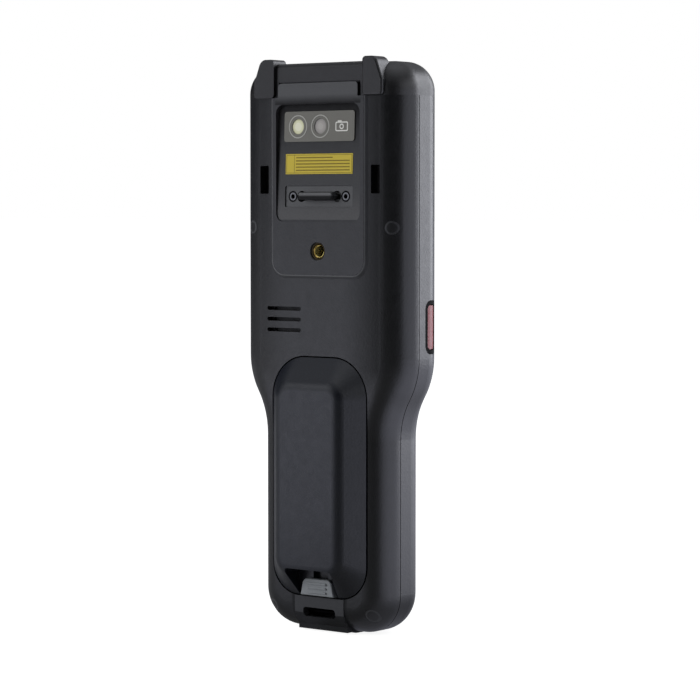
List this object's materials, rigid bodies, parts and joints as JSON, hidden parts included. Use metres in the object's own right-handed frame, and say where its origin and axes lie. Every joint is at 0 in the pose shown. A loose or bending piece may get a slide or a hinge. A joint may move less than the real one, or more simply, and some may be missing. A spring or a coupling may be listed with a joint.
{
  "type": "portable barcode data terminal",
  "caption": "Rugged handheld data terminal with display, keypad, scan window, side triggers and a battery pack that tilts out of its back.",
  "frame": {"origin": "under the middle of the terminal, on the face of the dock boss that it stands on", "axes": "+Z along its length towards the scan window, +Y out of its back, +X to the left of someone who looks at its back"},
  "size_m": [0.074, 0.034, 0.2053],
  "materials": {
    "housing": "fine spark-eroded texture",
    "bumper": "fine matt texture",
    "pack": "fine spark-eroded texture",
    "latch": "satin",
    "gold_contact": "gold plated",
    "black_nylon": "moulded",
    "scan_glass": "dark red window",
    "engine_black": "moulded",
    "steel": "machined",
    "light_pipe": "clear moulded",
    "seal_rubber": "moulded rubber",
    "plug_rubber": "moulded flush with the housing",
    "lens_glass": "polished",
    "display_black": "switched-off panel",
    "chassis_metal": "die cast",
    "board": "solder resist",
    "key_rubber": "translucent silicone",
    "key_grey": "moulded",
    "scan_key": "moulded",
    "trigger_red": "moulded",
    "window_grey": "printed back, glossy front",
    "optic_glass": "diffusing cover",
    "flash_lens": "phosphor behind a clear cover",
    "led_white": "moulded",
    "label_yellow": "printed film",
    "anchor_plate": "black coated",
    "black_screw": "black oxide",
    "brass": "turned"
  },
  "bodies": {
    "terminal": {"rear_housing": "housing", "front_housing": "housing", "top_cap": "bumper", "battery_connector": "black_nylon", "scan_window": "scan_glass", "scan_engine": "engine_black", "earpiece_mesh": "steel", "status_light": "light_pipe", "housing_gasket": "seal_rubber", "touch_lens": "lens_glass", "display_module": "display_black", "chassis_plate": "chassis_metal", "main_board": "board", "keypad_board": "board", "keypad_mat": "key_rubber", "trigger_switches": "black_nylon", "camera_window": "window_grey", "camera_lens": "optic_glass", "flash_lens": "flash_lens", "camera_module": "engine_black", "flash_led": "led_white", "label_plate": "label_yellow", "strap_anchor_plate": "anchor_plate", "strap_bar": "anchor_plate", "anchor_screws": "black_screw", "grip_insert": "brass", "housing_screws": "steel", "screw_plugs": "plug_rubber", "trigger_bezels": "seal_rubber", "loudspeaker": "engine_black", "dock_connector": "black_nylon", "dock_contacts": "gold_contact", "wrist_strap_pin": "black_screw"},
    "battery": {"battery_pack": "pack", "battery_contacts": "gold_contact"},
    "latch": {"battery_latch": "latch"},
    "left_trigger": {"trigger_left": "trigger_red"},
    "right_trigger": {"trigger_right": "trigger_red"},
    "cap_power": {"key_power": "key_grey"},
    "cap_light": {"key_light": "key_grey"},
    "cap_enter": {"key_enter": "key_grey"},
    "cap_star": {"key_star": "key_grey"},
    "cap_0": {"key_0": "key_grey"},
    "cap_hash": {"key_hash": "key_grey"},
    "cap_7": {"key_7": "key_grey"},
    "cap_8": {"key_8": "key_grey"},
    "cap_9": {"key_9": "key_grey"},
    "cap_4": {"key_4": "key_grey"},
    "cap_5": {"key_5": "key_grey"},
    "cap_6": {"key_6": "key_grey"},
    "cap_1": {"key_1": "key_grey"},
    "cap_2": {"key_2": "key_grey"},
    "cap_3": {"key_3": "key_grey"},
    "cap_back": {"key_back": "key_grey"},
    "cap_home": {"key_home": "key_grey"},
    "cap_menu": {"key_menu": "key_grey"},
    "cap_scan": {"key_scan": "scan_key"},
    "cap_call": {"key_call": "key_grey"},
    "cap_end": {"key_end": "key_grey"}
  },
  "joints": [
    {"name": "battery_tilt", "type": "hinge", "parent": "terminal", "child": "battery", "pos_m": [0, 0.00915, 0.09875], "axis": [1, 0, 0], "range_deg": [0, 25]},
    {"name": "latch_slide", "type": "slide", "parent": "battery", "child": "latch", "axis": [0, 0, 1], "range_m": [0, 0.002], "stiffness_N_per_m": 400, "springref_m": -0.002},
    {"name": "left_trigger_press", "type": "slide", "parent": "terminal", "child": "left_trigger", "axis": [1, 0, 0], "range_m": [0, 0.0009], "stiffness_N_per_m": 600, "springref_m": -0.001},
    {"name": "right_trigger_press", "type": "slide", "parent": "terminal", "child": "right_trigger", "axis": [-1, 0, 0], "range_m": [0, 0.0009], "stiffness_N_per_m": 600, "springref_m": -0.001},
    {"name": "key_power_press", "type": "slide", "parent": "terminal", "child": "cap_power", "axis": [0, 1, 0], "range_m": [0, 0.0008], "stiffness_N_per_m": 500, "springref_m": -0.001},
    {"name": "key_light_press", "type": "slide", "parent": "terminal", "child": "cap_light", "axis": [0, 1, 0], "range_m": [0, 0.0008], "stiffness_N_per_m": 500, "springref_m": -0.001},
    {"name": "key_enter_press", "type": "slide", "parent": "terminal", "child": "cap_enter", "axis": [0, 1, 0], "range_m": [0, 0.0008], "stiffness_N_per_m": 500, "springref_m": -0.001},
    {"name": "key_star_press", "type": "slide", "parent": "terminal", "child": "cap_star", "axis": [0, 1, 0], "range_m": [0, 0.0008], "stiffness_N_per_m": 500, "springref_m": -0.001},
    {"name": "key_0_press", "type": "slide", "parent": "terminal", "child": "cap_0", "axis": [0, 1, 0], "range_m": [0, 0.0008], "stiffness_N_per_m": 500, "springref_m": -0.001},
    {"name": "key_hash_press", "type": "slide", "parent": "terminal", "child": "cap_hash", "axis": [0, 1, 0], "range_m": [0, 0.0008], "stiffness_N_per_m": 500, "springref_m": -0.001},
    {"name": "key_7_press", "type": "slide", "parent": "terminal", "child": "cap_7", "axis": [0, 1, 0], "range_m": [0, 0.0008], "stiffness_N_per_m": 500, "springref_m": -0.001},
    {"name": "key_8_press", "type": "slide", "parent": "terminal", "child": "cap_8", "axis": [0, 1, 0], "range_m": [0, 0.0008], "stiffness_N_per_m": 500, "springref_m": -0.001},
    {"name": "key_9_press", "type": "slide", "parent": "terminal", "child": "cap_9", "axis": [0, 1, 0], "range_m": [0, 0.0008], "stiffness_N_per_m": 500, "springref_m": -0.001},
    {"name": "key_4_press", "type": "slide", "parent": "terminal", "child": "cap_4", "axis": [0, 1, 0], "range_m": [0, 0.0008], "stiffness_N_per_m": 500, "springref_m": -0.001},
    {"name": "key_5_press", "type": "slide", "parent": "terminal", "child": "cap_5", "axis": [0, 1, 0], "range_m": [0, 0.0008], "stiffness_N_per_m": 500, "springref_m": -0.001},
    {"name": "key_6_press", "type": "slide", "parent": "terminal", "child": "cap_6", "axis": [0, 1, 0], "range_m": [0, 0.0008], "stiffness_N_per_m": 500, "springref_m": -0.001},
    {"name": "key_1_press", "type": "slide", "parent": "terminal", "child": "cap_1", "axis": [0, 1, 0], "range_m": [0, 0.0008], "stiffness_N_per_m": 500, "springref_m": -0.001},
    {"name": "key_2_press", "type": "slide", "parent": "terminal", "child": "cap_2", "axis": [0, 1, 0], "range_m": [0, 0.0008], "stiffness_N_per_m": 500, "springref_m": -0.001},
    {"name": "key_3_press", "type": "slide", "parent": "terminal", "child": "cap_3", "axis": [0, 1, 0], "range_m": [0, 0.0008], "stiffness_N_per_m": 500, "springref_m": -0.001},
    {"name": "key_back_press", "type": "slide", "parent": "terminal", "child": "cap_back", "axis": [0, 1, 0], "range_m": [0, 0.0008], "stiffness_N_per_m": 500, "springref_m": -0.001},
    {"name": "key_home_press", "type": "slide", "parent": "terminal", "child": "cap_home", "axis": [0, 1, 0], "range_m": [0, 0.0008], "stiffness_N_per_m": 500, "springref_m": -0.001},
    {"name": "key_menu_press", "type": "slide", "parent": "terminal", "child": "cap_menu", "axis": [0, 1, 0], "range_m": [0, 0.0008], "stiffness_N_per_m": 500, "springref_m": -0.001},
    {"name": "key_scan_press", "type": "slide", "parent": "terminal", "child": "cap_scan", "axis": [0, 1, 0], "range_m": [0, 0.0008], "stiffness_N_per_m": 500, "springref_m": -0.001},
    {"name": "key_call_press", "type": "slide", "parent": "terminal", "child": "cap_call", "axis": [0, 1, 0], "range_m": [0, 0.0008], "stiffness_N_per_m": 500, "springref_m": -0.001},
    {"name": "key_end_press", "type": "slide", "parent": "terminal", "child": "cap_end", "axis": [0, 1, 0], "range_m": [0, 0.0008], "stiffness_N_per_m": 500, "springref_m": -0.001}
  ]
}
